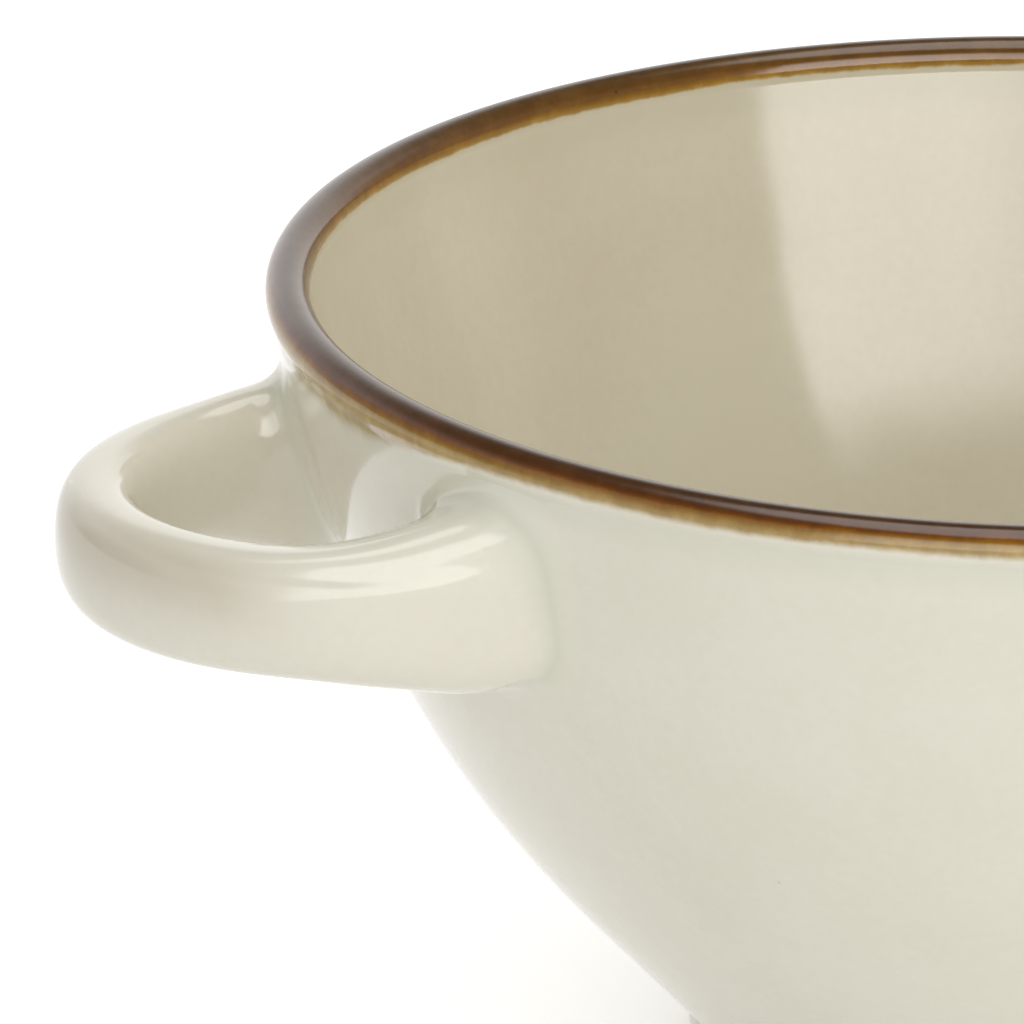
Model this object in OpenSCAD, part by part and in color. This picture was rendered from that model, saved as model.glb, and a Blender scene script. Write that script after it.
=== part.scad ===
/* [Bowl] */
// Outside diameter over the rolled lip
rim_d = 136; // [122:1:150]
// Height from the table to the top of the lip
height = 72; // [68:1:78]
// Lean of the wall from upright just under the lip, in degrees
lip_lean = 12.5; // [9:0.5:16]
// Lean of the wall from upright where it meets the foot ring, in degrees
foot_lean = 41; // [37:1:45]
// Glazed wall thickness at the foot ring
wall_base = 4.8; // [4.2:0.1:5.6]
// Glazed floor thickness at the middle of the bowl
floor_t = 4; // [3.4:0.1:5]

/* [Lip] */
// Thickness of the rolled lip, glaze included
lip_d = 3.8; // [3.4:0.1:4.4]
// How far the lip stands proud of the wall outside
lip_proud = 0.5; // [0.3:0.1:0.8]

/* [Foot ring] */
// Outside diameter of the turned foot ring, glaze included
foot_d = 63; // [58:1:68]
// Height of the foot ring, up to where the wall springs from it
foot_h = 5.2; // [4.4:0.2:6]
// Width of the ring's clay where it stands on the table
foot_w = 5; // [4:0.5:6.5]
// Depth of the hollow inside the foot ring
recess_h = 2.6; // [2.2:0.2:3.2]
// Bevel on the ring's standing edges
foot_bevel = 0.7; // [0.4:0.1:1]
// Height of bare clay left at the bottom of the ring
foot_bare = 2.2; // [1.4:0.2:3]

/* [Handles] */
// How far a handle reaches out past the lip
handle_reach = 21.6; // [20:0.2:24]
// Distance between the middles of a handle's two legs
handle_span = 38; // [34:0.5:40]
// Thickness of the handle seen from above, glaze included
handle_t = 7; // [6:0.2:8]
// Height of the handle's section, glaze included
handle_h = 10.6; // [9:0.2:11.6]
// Depth of the handle's middle below the top of the lip
handle_drop = 15.4; // [15.4:0.2:20]

/* [Slip fillets] */
// How far a fillet runs out along the leg
fillet_run = 5; // [3.5:0.5:6]
// Spread of the fillet along the wall, outside the loop
fillet_out = 8; // [5:0.5:8.5]
// Spread of the fillet along the wall, inside the loop
fillet_in = 1; // [0.6:0.1:1.6]
// Spread of the fillet above and below the leg
fillet_rise = 4.4; // [3:0.2:4.8]

/* [Glaze] */
// Thickness of every glaze coat
glaze_t = 0.4; // [0.3:0.05:0.5]
// Depth of the brown band below the top of the lip, outside
band_out = 2.2; // [1.6:0.1:2.8]
// Depth of the brown band below the top of the lip, inside
band_in = 2; // [1.6:0.1:2.6]

/* [Hidden] */
$fn = 180;

clay_colour = [0.80, 0.72, 0.60];
cream_colour = [0.86, 0.84, 0.77];
brown_colour = [0.42, 0.23, 0.08];

// Lip: a roll of this radius round this ring
lip_steps = 40;
lip_r = lip_d / 2;
lip_x = rim_d / 2 - lip_r;
lip_z = height - lip_r;

// Wall curve, outside and glazed: from the underside of the lip to the foot ring
wall_steps = 22;
wall_top = lip_d - lip_proud;
wall_start = [lip_x + lip_r - lip_proud, lip_z - sqrt(lip_proud * (lip_d - lip_proud))];
wall_end = [foot_d / 2, foot_h];
upper_pull_share = 0.553;
lower_pull_share = 0.318;
wall_poles = [
    wall_start,
    wall_start - upper_pull_share * height * [sin(lip_lean), cos(lip_lean)],
    wall_end + lower_pull_share * height * [sin(foot_lean), cos(foot_lean)],
    wall_end];

// Floor curve: it leaves the inside of the wall a few steps above the foot and runs to the middle
inside_steps = 19;
floor_steps = 12;
floor_z = recess_h + floor_t;
floor_pull_share = 0.12;
floor_flat_share = 0.5;

// Handle: two straight legs and a half ring
loop_r = handle_span / 2;
loop_x = rim_d / 2 + handle_reach - handle_t / 2 - loop_r;
loop_z = height - handle_drop;
leg_root_x = loop_x / 2;
section_points = 40;
section_power = 2.5;

// Fillet: rings of points at growing distances from the wall
fillet_rings = 8;
fillet_points = 32;
fillet_power = 2.2;
fillet_sunk = glaze_t + wall_top / 3;

// Point at t on the curve through four poles, and its direction
function on_curve(p, t) =
    pow(1 - t, 3) * p[0] + 3 * pow(1 - t, 2) * t * p[1] + 3 * (1 - t) * pow(t, 2) * p[2] + pow(t, 3) * p[3];
function along_curve(p, t) =
    pow(1 - t, 2) * (p[1] - p[0]) + 2 * (1 - t) * t * (p[2] - p[1]) + pow(t, 2) * (p[3] - p[2]);
function unit(v) = v / norm(v);
function inward(p, t) = let (d = unit(along_curve(p, t))) [d[1], -d[0]];

// Points of the wall at a depth that grows from top to base, from lip to foot
function wall_points(top, base, last = wall_steps) = [
    for (i = [0:last])
        let (t = i / wall_steps)
            on_curve(wall_poles, t) + ((1 - t) * top + t * base) * inward(wall_poles, t)];

// Points over the lip, from inside to outside, between the two places where the wall runs into it
function bearing(p) = atan2(p[1] - lip_z, p[0] - lip_x);
function lip_points(cut) =
    let (
        wall_out = bearing(wall_start),
        wall_in = bearing(wall_start + wall_top * inward(wall_poles, 0)) + 360)
    [for (i = [1:lip_steps - 1])
        let (a = wall_in + (wall_out - wall_in) * i / lip_steps)
            [lip_x, lip_z] + (lip_r - cut) * [cos(a), sin(a)]];

// Points from the lowest point taken on the inside of the wall to the middle of a floor at height z
function floor_points(start, z) =
    let (
        down = unit(along_curve(wall_poles, inside_steps / wall_steps)),
        poles = [
            start,
            start + floor_pull_share * foot_d * down,
            [floor_flat_share * start[0], z],
            [0, z]])
    [for (i = [1:floor_steps]) on_curve(poles, i / floor_steps)];

// The whole inside of the bowl, glazed (cut = 0) or bare (cut = the glaze's thickness)
function inside_points(cut) =
    let (wall = wall_points(wall_top - cut, wall_base - cut, inside_steps))
    concat(wall, floor_points(wall[inside_steps], floor_z - cut));

function reversed(list) = [for (i = [len(list) - 1:-1:0]) list[i]];

// Wall radius outside, glazed, at a height
wall_table = [for (p = wall_points(0, 0)) [p[1], p[0]]];
function wall_radius(z) = lookup(z, wall_table);

// A rounded section: a point on it at an angle, in half-widths
function signed_power(v, e) = sign(v) * pow(abs(v), e);
function section_unit(a) = [signed_power(cos(a), 2 / section_power), signed_power(sin(a), 2 / section_power)];

// Half section of the bowl, glazed or bare, from the lip to the foot ring
module bowl_section(cut) {
    polygon(concat(
        lip_points(cut),
        wall_points(cut, cut),
        [[foot_d / 2 - cut, foot_bevel],
         [foot_d / 2 - cut - foot_bevel, 0],
         [foot_d / 2 - foot_w + foot_bevel, 0],
         [foot_d / 2 - foot_w, foot_bevel],
         [foot_d / 2 - foot_w, recess_h],
         [0, recess_h]],
        reversed(inside_points(cut))));
}

// Everything outside the middle of the wall, down to the bare part of the foot
module outside_zone() {
    polygon(concat(
        [[lip_x, height]],
        wall_points(wall_top / 2, wall_base / 2),
        [[foot_d / 2 - foot_w, foot_bare], [rim_d, foot_bare], [rim_d, height]]));
}

// The brown band's share of the section
module band_zone() {
    translate([lip_x, height - band_out])
        square([lip_d, band_out]);
    translate([lip_x - lip_d, height - band_in])
        square([lip_d, band_in]);
}

module coat_section() {
    difference() {
        bowl_section(0);
        bowl_section(glaze_t);
    }
}

// The bare bowl as if it were solid clay, to trim what is stuck on its wall
module bowl_core() {
    rotate_extrude()
        polygon(concat([[0, lip_z]], [[lip_x, lip_z]], wall_points(glaze_t, glaze_t), [[0, foot_h]]));
}

module bowl_body() {
    color(clay_colour)
        rotate_extrude()
            bowl_section(glaze_t);
}

module liner_glaze() {
    color(cream_colour)
        rotate_extrude()
            difference() {
                coat_section();
                outside_zone();
                band_zone();
                square([rim_d, recess_h]);
            }
}

module outer_glaze() {
    color(cream_colour)
        difference() {
            rotate_extrude()
                difference() {
                    intersection() {
                        coat_section();
                        outside_zone();
                    }
                    band_zone();
                }
            for (side = [0, 1], end = [-1, 1])
                mirror([side, 0, 0])
                    fillet_footprint(end);
        }
}

module rim_glaze() {
    color(brown_colour)
        rotate_extrude()
            intersection() {
                coat_section();
                band_zone();
            }
}

module base_glaze() {
    color(cream_colour)
        translate([0, 0, recess_h - glaze_t])
            cylinder(r = foot_d / 2 - foot_w - foot_bevel, h = glaze_t);
}

// Section of the handle, glazed or bare
module handle_section(cut) {
    polygon([for (i = [0:section_points - 1])
        let (u = section_unit(360 * i / section_points))
            [u[0] * (handle_t / 2 - cut), u[1] * (handle_h / 2 - cut)]]);
}

// The handle's loop on the right side, its legs running on into the wall
module loop(cut) {
    translate([loop_x, 0, loop_z]) {
        rotate([0, 0, -90])
            rotate_extrude(angle = 180)
                translate([loop_r, 0])
                    handle_section(cut);
        for (end = [-1, 1])
            translate([0, end * loop_r, 0])
                rotate([90, 0, -90])
                    linear_extrude(height = loop_x - leg_root_x)
                        handle_section(cut);
    }
}

// Outline of the flared leg seen along X, from the plain leg (share = 0) to where it lies on the wall (share = 1)
function flare_outline(a, share) =
    let (u = section_unit(a), spread = u[0] > 0 ? fillet_out : fillet_in)
    [loop_r + u[0] * (handle_t / 2 + spread * share), loop_z + u[1] * (handle_h / 2 + fillet_rise * share)];

// What a flared leg covers on the wall, cut straight through along X, at the end of the loop towards +Y or -Y
module fillet_footprint(end) {
    mirror([0, end < 0 ? 1 : 0, 0])
        translate([leg_root_x, 0, 0])
            rotate([90, 0, 90])
                linear_extrude(height = rim_d / 2 - leg_root_x)
                    polygon([for (j = [0:fillet_points - 1]) flare_outline(360 * j / fillet_points, 1)]);
}

// Clay that flares from a leg on to the wall, solid through
function flare_share(w) = pow(1 - max(w, 0) / fillet_run, fillet_power);
function flare_point(w, a) =
    let (p = flare_outline(a, flare_share(w)), r = wall_radius(p[1]) + w)
    [sqrt(pow(r, 2) - pow(p[0], 2)), p[0], p[1]];
module fillet_flare(end) {
    depths = [for (i = [-1:fillet_rings]) i < 0 ? -fillet_sunk : fillet_run * i / fillet_rings];
    last = len(depths) - 1;
    points = [for (w = depths, j = [0:fillet_points - 1]) flare_point(w, 360 * j / fillet_points)];
    sides = [for (i = [0:last - 1], j = [0:fillet_points - 1])
        let (k = (j + 1) % fillet_points, a = i * fillet_points, b = a + fillet_points)
            each [[a + j, b + j, b + k], [a + j, b + k, a + k]]];
    caps = [[for (j = [0:fillet_points - 1]) j],
            [for (j = [fillet_points - 1:-1:0]) last * fillet_points + j]];
    mirror([0, end < 0 ? 1 : 0, 0])
        polyhedron(points = points, faces = concat(sides, caps));
}

module right_handle() {
    color(clay_colour)
        difference() {
            loop(glaze_t);
            bowl_core();
        }
}

module right_handle_glaze() {
    color(cream_colour)
        difference() {
            loop(0);
            loop(glaze_t);
            bowl_core();
            for (end = [-1, 1])
                fillet_flare(end);
        }
}

module right_slip_fillet(end) {
    color(clay_colour)
        difference() {
            fillet_flare(end);
            loop(glaze_t);
            bowl_core();
        }
}

module left_handle() {
    mirror([1, 0, 0])
        right_handle();
}

module left_handle_glaze() {
    mirror([1, 0, 0])
        right_handle_glaze();
}

module left_slip_fillet(end) {
    mirror([1, 0, 0])
        right_slip_fillet(end);
}

bowl_body();
left_handle();
right_handle();
left_slip_fillet(-1);  // left_front_slip_fillet
left_slip_fillet(1);  // left_rear_slip_fillet
right_slip_fillet(-1);  // right_front_slip_fillet
right_slip_fillet(1);  // right_rear_slip_fillet
liner_glaze();
outer_glaze();
rim_glaze();
base_glaze();
left_handle_glaze();
right_handle_glaze();
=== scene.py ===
# %% [markdown]
# # A stoneware soup crock, dressed for its photograph
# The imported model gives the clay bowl, the two handles and the glaze coats as exact solids. This lesson keeps their
# sizes and builds what the kiln adds: one skin of glaze that runs over wall, lip and handles without a seam, the
# brown iron band on the lip, and the bare clay of the foot.

import math

import bpy
import numpy as np
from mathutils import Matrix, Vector


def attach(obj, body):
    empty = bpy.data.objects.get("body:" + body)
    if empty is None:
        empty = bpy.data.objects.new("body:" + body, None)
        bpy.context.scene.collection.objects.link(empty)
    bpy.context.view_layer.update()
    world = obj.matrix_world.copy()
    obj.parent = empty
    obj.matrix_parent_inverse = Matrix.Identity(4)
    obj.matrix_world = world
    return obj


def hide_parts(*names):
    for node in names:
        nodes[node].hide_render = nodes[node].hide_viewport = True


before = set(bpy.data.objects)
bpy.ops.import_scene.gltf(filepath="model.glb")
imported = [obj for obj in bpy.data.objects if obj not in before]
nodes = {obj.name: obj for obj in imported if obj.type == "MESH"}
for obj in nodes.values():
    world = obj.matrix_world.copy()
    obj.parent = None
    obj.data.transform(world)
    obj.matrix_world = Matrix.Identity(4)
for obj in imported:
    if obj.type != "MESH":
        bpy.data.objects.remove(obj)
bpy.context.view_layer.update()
print("nodes:", ", ".join(sorted(nodes)))

# %% [markdown]
# ## Sizes
# The values below are the bowl's own, in millimetres, as a potter would note them. Blender works in metres, so one
# factor turns them over when a mesh is made. They could be read back from the imported meshes, but written out they
# tell the reader what each one is.

# %% Sizes of the bowl and its lip
MM = 0.001
RIM_D, HEIGHT = 136.0, 72.0
LIP_LEAN, FOOT_LEAN = math.radians(12.5), math.radians(41.0)
WALL_BASE, FLOOR_T = 4.8, 4.0
LIP_D, LIP_PROUD = 3.8, 0.5
FOOT_D, FOOT_H, FOOT_BARE, RECESS_H = 63.0, 5.2, 2.2, 2.6
GLAZE_T = 0.4
BAND_OUT, BAND_IN = 2.2, 2.0

LIP_R = LIP_D / 2
LIP_X = RIM_D / 2 - LIP_R
LIP_Z = HEIGHT - LIP_R
WALL_TOP = LIP_D - LIP_PROUD
print(f"bowl {RIM_D:.0f} mm across and {HEIGHT:.0f} mm high")

# %% [markdown]
# ## The wall's curve
# A thrown wall leaves the lip steeply and swings out over the foot. One cubic curve with four poles draws it, from
# just under the lip to the top of the foot ring, and the inside is the same curve moved inward by a wall that grows
# thicker towards the base.

# %% Points on the wall
WALL_STEPS, INSIDE_STEPS = 400, 346
LIP_PULL, FOOT_PULL = 0.553 * HEIGHT, 0.318 * HEIGHT


def on_curve(poles, t):
    t = np.asarray(t)[:, None]
    return (1 - t) ** 3 * poles[0] + 3 * (1 - t) ** 2 * t * poles[1] + 3 * (1 - t) * t**2 * poles[2] + t**3 * poles[3]


def along_curve(poles, t):
    t = np.asarray(t)[:, None]
    d = (1 - t) ** 2 * (poles[1] - poles[0]) + 2 * (1 - t) * t * (poles[2] - poles[1]) + t**2 * (poles[3] - poles[2])
    return d / np.linalg.norm(d, axis=1)[:, None]


wall_start = np.array([LIP_X + LIP_R - LIP_PROUD, LIP_Z - math.sqrt(LIP_PROUD * (LIP_D - LIP_PROUD))])
wall_end = np.array([FOOT_D / 2, FOOT_H])
wall_poles = [
    wall_start,
    wall_start - LIP_PULL * np.array([math.sin(LIP_LEAN), math.cos(LIP_LEAN)]),
    wall_end + FOOT_PULL * np.array([math.sin(FOOT_LEAN), math.cos(FOOT_LEAN)]),
    wall_end,
]


def wall_points(top, base, t):
    """Points of the wall at a depth that grows from top, under the lip, to base, over the foot."""
    d = along_curve(wall_poles, t)
    inward = np.stack([d[:, 1], -d[:, 0]], axis=1)
    depth = (1 - t) * top + t * base
    return on_curve(wall_poles, t) + depth[:, None] * inward


steps = np.linspace(0, 1, WALL_STEPS)
inside_steps = steps[:INSIDE_STEPS]
outside = wall_points(0, 0, steps)
inside = wall_points(WALL_TOP, WALL_BASE, inside_steps)
print(f"{len(outside)} points down the outside, {len(inside)} down the inside")

# %% [markdown]
# The lip is a roll of clay, a circle in section, between the two places where the wall runs into it. The floor
# leaves the inside of the wall along its curve and lies flat at the middle. Round the coat's lower edge, above the
# bare clay of the foot, four points draw the bead that a wiped glaze ends in.

# %% Points over the lip, across the floor and round the glaze's lower edge
LIP_STEPS, FLOOR_STEPS = 242, 120
FLOOR_PULL, FLOOR_FLAT = 0.12, 0.5


def bearing(p):
    return math.atan2(p[1] - LIP_Z, p[0] - LIP_X)


turn = np.linspace(bearing(outside[0]), bearing(inside[0]) + 2 * math.pi, LIP_STEPS)[1:-1]
lip = np.stack([LIP_X + LIP_R * np.cos(turn), LIP_Z + LIP_R * np.sin(turn)], axis=1)

floor_start = inside[-1]
floor_z = RECESS_H + FLOOR_T
down = along_curve(wall_poles, inside_steps[-1:])[0]
floor_poles = [
    floor_start,
    floor_start + FLOOR_PULL * FOOT_D * down,
    np.array([FLOOR_FLAT * floor_start[0], floor_z]),
    np.array([0.0, floor_z]),
]
floor = on_curve(floor_poles, np.linspace(0, 1, FLOOR_STEPS))[1:]
foot_edge = np.array([
    [FOOT_D / 2 - GLAZE_T - 0.35, FOOT_BARE + 0.15],
    [FOOT_D / 2 - GLAZE_T - 0.1, FOOT_BARE - 0.05],
    [FOOT_D / 2 - 0.12, FOOT_BARE + 0.02],
    [FOOT_D / 2, FOOT_BARE + 0.35],
])
print(f"{len(lip)} points over the lip, {len(floor)} across the floor")

# %% [markdown]
# ## One profile for the whole coat
# Fired glaze has no sharp inner corners: it pools where the lip meets the wall and where the wall springs from the
# foot. The raw outline is therefore resampled at an even step and softened with a short moving average before it is
# turned. Points are then spent where the curve turns, so the lip stays round in a close view.

# %% Soften the profile and place its points
FINE_STEP, SOFT_REACH = 0.05, 0.28
PROFILE_POINTS, LENGTH_COST, BEND_COST = 230, 1.0, 18.0


def place_evenly(points, along, count):
    even = np.linspace(0, along[-1], count)
    return np.stack([np.interp(even, along, points[:, i]) for i in (0, 1)], axis=1)


def resample(points, step):
    gaps = np.linalg.norm(np.diff(points, axis=0), axis=1)
    s = np.concatenate([[0], np.cumsum(gaps)])
    return place_evenly(points, s, int(s[-1] / step) + 1)


def soften(points, reach, step):
    """A bell-shaped moving average. Past the foot the points run straight on, past the axis they are mirrored."""
    half = int(3 * reach / step)
    weights = np.exp(-0.5 * (np.arange(-half, half + 1) * step / reach) ** 2)
    weights /= weights.sum()
    padded = np.concatenate([
        2 * points[0] - points[half:0:-1],
        points,
        points[-2:-half - 2:-1] * [-1, 1],
    ])
    return np.stack([np.convolve(padded[:, i], weights, "valid") for i in (0, 1)], axis=1)


def spend_points(points, count, base, turning):
    d = np.diff(points, axis=0)
    length = np.linalg.norm(d, axis=1)
    angle = np.unwrap(np.arctan2(d[:, 1], d[:, 0]))
    bend = np.abs(np.diff(angle, append=angle[-1]))
    return place_evenly(points, np.concatenate([[0], np.cumsum(length * base + bend * turning)]), count)


outline = np.concatenate([foot_edge, outside[::-1], lip, inside, floor])
fine = soften(resample(outline, FINE_STEP), SOFT_REACH, FINE_STEP)
fine[0] = foot_edge[0]
fine[-1, 0] = 0
profile = spend_points(fine, PROFILE_POINTS, LENGTH_COST, BEND_COST)
print(f"profile: {len(profile)} points, top at {profile[:, 1].max():.2f} mm, widest {profile[:, 0].max():.2f} mm")

# %% [markdown]
# ## Thrown by hand
# A wheel-thrown wall is never a perfect surface of revolution. A few slow waves, only inward and never over 0.15 mm,
# move every glazed surface together, so that wall and handles stay joined. A displacement texture would do it too,
# but a function of place moves separate meshes by exactly the same amount.

# %% The potter's unevenness
WAVE_DEPTH, CALM_RADIUS = 0.075, 30.0


def hand_waves(points):
    x, y, z = points.T
    turn_angle = np.arctan2(y, x)
    wave = (
        0.40 * np.sin(2 * turn_angle + 0.6)
        + 0.25 * np.sin(3 * turn_angle + 0.11 * z + 2.1)
        + 0.20 * np.sin(5 * turn_angle - 0.17 * z + 4.0)
        + 0.15 * np.sin(0.55 * z + 0.8 * np.sin(turn_angle))
    )
    shrink = WAVE_DEPTH * (1 + wave)
    radius = np.maximum(np.hypot(x, y), 1e-6)
    k = 1 - shrink * np.clip(radius / CALM_RADIUS, 0, 1) / radius
    return np.stack([x * k, y * k, z], axis=1)


def waved_normals(points, normals, step=0.05):
    """The normals that exact ones turn to when hand_waves moves the points."""
    pulls = np.stack([(hand_waves(points + e) - hand_waves(points - e)) / (2 * step) for e in step * np.eye(3)], axis=2)
    turned = np.linalg.solve(pulls.transpose(0, 2, 1), normals[:, :, None])[:, :, 0]
    return turned / np.linalg.norm(turned, axis=1)[:, None]


print(f"waves: up to {2 * WAVE_DEPTH:.2f} mm inward")

# %% [markdown]
# ## From points to a piece
# Bowl and handles are both grids of points whose rows close on themselves, so the same short functions serve them:
# one lists the four-sided faces, one works out smooth normals and one makes the Blender object. A piece may carry
# numbers on its points, which its material reads.

# %% Faces, normals and objects
def grid_faces(rows, columns):
    i, j = np.meshgrid(np.arange(rows - 1), np.arange(columns), indexing="ij")
    k = (j + 1) % columns
    return np.stack([i * columns + j, i * columns + k, (i + 1) * columns + k, (i + 1) * columns + j], axis=2)


def vertex_normals(points, faces):
    normals = np.zeros_like(points)
    for corner in range(1, faces.shape[1] - 1):
        a, b, c = points[faces[:, 0]], points[faces[:, corner]], points[faces[:, corner + 1]]
        face_normal = np.cross(b - a, c - a)
        for i in range(faces.shape[1]):
            np.add.at(normals, faces[:, i], face_normal)
    return normals / np.maximum(np.linalg.norm(normals, axis=1), 1e-12)[:, None]


def make_piece(name, points, faces, normals, shares=None):
    """A smooth mesh object of the points that the faces use. shares: {name: a number for each point}."""
    used = np.unique(faces)
    renumber = np.zeros(len(points), int)
    renumber[used] = np.arange(len(used))
    mesh = bpy.data.meshes.new(name)
    mesh.from_pydata((points[used] * MM).tolist(), [], [
        [v for i, v in enumerate(f) if v != f[i - 1]] for f in renumber[faces].tolist()
    ])
    mesh.validate()
    mesh.polygons.foreach_set("use_smooth", [True] * len(mesh.polygons))
    mesh.normals_split_custom_set_from_vertices(normals[used].tolist())
    for label, share in (shares or {}).items():
        mesh.attributes.new(label, "FLOAT", "POINT").data.foreach_set("value", share[used].astype(np.float32))
    mesh.update()
    piece = bpy.data.objects.new(name, mesh)
    bpy.context.scene.collection.objects.link(piece)
    print(f"{name}: {len(mesh.vertices)} points, {len(mesh.polygons)} faces")
    return piece


print("mesh helpers ready")

# %% [markdown]
# ## The glaze skin of the bowl
# The profile is turned once round the axis. The skin could be one object, but liner, outer coat and brown rim are
# three glazes on the real crock, so the one turned surface is cut into three pieces. All three keep the vertex normals
# of the uncut surface, which hides the cuts.

# %% Turn the profile and cut it into three coats
TURNS = 540
angles = np.linspace(0, 2 * math.pi, TURNS, endpoint=False)
skin_points = np.stack([
    profile[:, 0, None] * np.cos(angles),
    profile[:, 0, None] * np.sin(angles),
    np.repeat(profile[:, 1, None], TURNS, axis=1),
], axis=2).reshape(-1, 3)
skin_points = hand_waves(skin_points)
skin_points[-TURNS:] = skin_points[-TURNS:].mean(axis=0)

skin_faces = grid_faces(len(profile), TURNS)
skin_normals = vertex_normals(skin_points, skin_faces.reshape(-1, 4))
skin_normals[-TURNS:] = (0, 0, 1)

crest = int(np.argmax(profile[:, 1]))
band_outside = int(np.argmin(np.abs(profile[:crest, 1] - (HEIGHT - BAND_OUT))))
band_inside = crest + int(np.argmin(np.abs(profile[crest:, 1] - (HEIGHT - BAND_IN))))


def coat(name, first, last):
    return make_piece(name, skin_points, skin_faces[first:last].reshape(-1, 4), skin_normals)


outer_coat = coat("outer_glaze_coat", 0, band_outside)
rim_coat = coat("rim_glaze_coat", band_outside, band_inside)
liner_coat = coat("liner_glaze_coat", band_inside, len(profile) - 1)

# %% [markdown]
# ## The handles
# Each handle is a pulled strap bent to a half ring, pressed on and smoothed into the wall with a wet finger. The joint
# has no edge. It could be made by remeshing the united shapes, which blurs everything, so the two distances are
# written down instead, to the strap and to the wall, and blended with a smooth minimum.
#
# The two legs of the left handle were not worked alike, so each has its own row of sizes: the reach of the blend at
# its four sides, the pad that thickens it at the wall, the tuck that lifts its lower edge there, a full shoulder
# under the lip and a slim waist below.

# %% Sizes of a handle and of its two legs
HANDLE_REACH, HANDLE_SPAN, HANDLE_T, HANDLE_H, HANDLE_DROP = 21.6, 38.0, 7.0, 10.6, 15.4
LOOP_R = HANDLE_SPAN / 2
LOOP_X = RIM_D / 2 + HANDLE_REACH - HANDLE_T / 2 - LOOP_R
LOOP_Z = HEIGHT - HANDLE_DROP
SECTION_POWER = 2.5
FLARE_REACH, FLARE_RISE, FLARE_POWER, FLARE_DROP, FLARE_STOP, FLARE_SOFT = 18.3, 4.4, 2.46, 2.15, 3.1, 2.4
PAD_IN, PAD_IN_REACH, TUCK_REACH, SHOULDER_REACH, WAIST_REACH = 0.3, 10.0, 6.5, 19.0, 12.0
FRONT_LEG = {"inner": 2.2, "outer": 2.3, "upper": 3.7, "lower": 3.4, "tuck": 2.1,
             "pad": 6.8, "pad_reach": 25.0, "pad_power": 1.5, "shoulder": 4.6, "waist": 1.8}
REAR_LEG = {"inner": 4.6, "outer": 4.8, "upper": 3.2, "lower": 2.0, "tuck": 0.0,
            "pad": 2.9, "pad_reach": 10.0, "pad_power": 2.0, "shoulder": 0.0, "waist": 0.0}
print(f"handle: {HANDLE_T:.0f} by {HANDLE_H} mm, out to {RIM_D / 2 + HANDLE_REACH:.1f} mm from the axis")

# %% [markdown]
# The strap's section is a rounded box that flares near the wall. Everything below depends on w, the distance from the
# wall: far out the strap is plain, and each change fades in as w shrinks. Across and up are a point's place in the
# section, where 1 is its edge.

# %% Distances to the wall and to the strap
wall_heights, wall_radii = outside[::-1, 1], outside[::-1, 0]


def wall_distance(p):
    z = p[:, 2]
    radius = np.interp(z, wall_heights, wall_radii)
    slope = (np.interp(z + 0.5, wall_heights, wall_radii) - np.interp(z - 0.5, wall_heights, wall_radii))
    return (np.hypot(p[:, 0], p[:, 1]) - radius) / np.sqrt(1 + slope**2)


def fading(w, reach, power):
    """1 at the wall, 0 from reach on."""
    return np.clip(1 - w / reach, 0, 1) ** power


def strap_size(w, outer, leg):
    """Half the strap's thickness, half its height and the height of its middle."""
    held = (w + FLARE_STOP + np.hypot(w - FLARE_STOP, FLARE_SOFT)) / 2
    near = np.clip(1 - held / FLARE_REACH, 0, 1)
    pad_out = leg["pad"] * fading(w, leg["pad_reach"], leg["pad_power"])
    half_t = HANDLE_T / 2 + np.where(outer, pad_out, PAD_IN * fading(w, PAD_IN_REACH, 2))
    tuck = 0.5 * leg["tuck"] * fading(w, TUCK_REACH, 2)
    return half_t, HANDLE_H / 2 + FLARE_RISE * near**FLARE_POWER - tuck, LOOP_Z - FLARE_DROP * near**2 + tuck


def strap_place(p, w, leg):
    """Across and up in the strap's section, then half its thickness and half its height."""
    x, y = p[:, 0], np.abs(p[:, 1])
    sideways = np.where(x < LOOP_X, y, np.hypot(x - LOOP_X, y)) - LOOP_R
    half_t, half_h, middle = strap_size(w, sideways > 0, leg)
    return sideways / half_t, (p[:, 2] - middle) / half_h, half_t, half_h


def strap_distance(p, w, leg):
    across, up, half_t, half_h = strap_place(p, w, leg)
    a, b = np.abs(across) + 1e-9, np.abs(up) + 1e-9
    q = (a**SECTION_POWER + b**SECTION_POWER) ** (1 / SECTION_POWER)
    ga = (a / q) ** (SECTION_POWER - 1) / half_t
    gb = (b / q) ** (SECTION_POWER - 1) / half_h
    return (q - 1) / np.hypot(ga, gb)


print("distances to wall and strap ready")

# %% [markdown]
# A smooth minimum of the two distances is the blend: within its reach the surface leaves both and swings from one to
# the other. On top of it lie the marks of the fingers, which move the outer face in or out. Each is a soft band round
# the section, given by its middle angle and its width: a low ridge over a groove along the strap, the shoulder and the
# waist. Where the blend fills most, glaze pools, and that share is kept for the material.

# %% The blended surface and the marks of the fingers
RIDGE, GROOVE, SHOULDER, WAIST = (60, 6), (46, 4.5), (58, 18), (-45, 35)
RIDGE_HIGH, GROOVE_DEEP, GROOVE_START, GROOVE_END, GROOVE_FADE = 0.06, 0.30, 3, 19, 7
WORK_POWER = 1.5


def smooth_reach(c, s, leg):
    return np.where(c > 0, leg["outer"], leg["inner"]) * c**2 + np.where(s > 0, leg["upper"], leg["lower"]) * s**2


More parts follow.
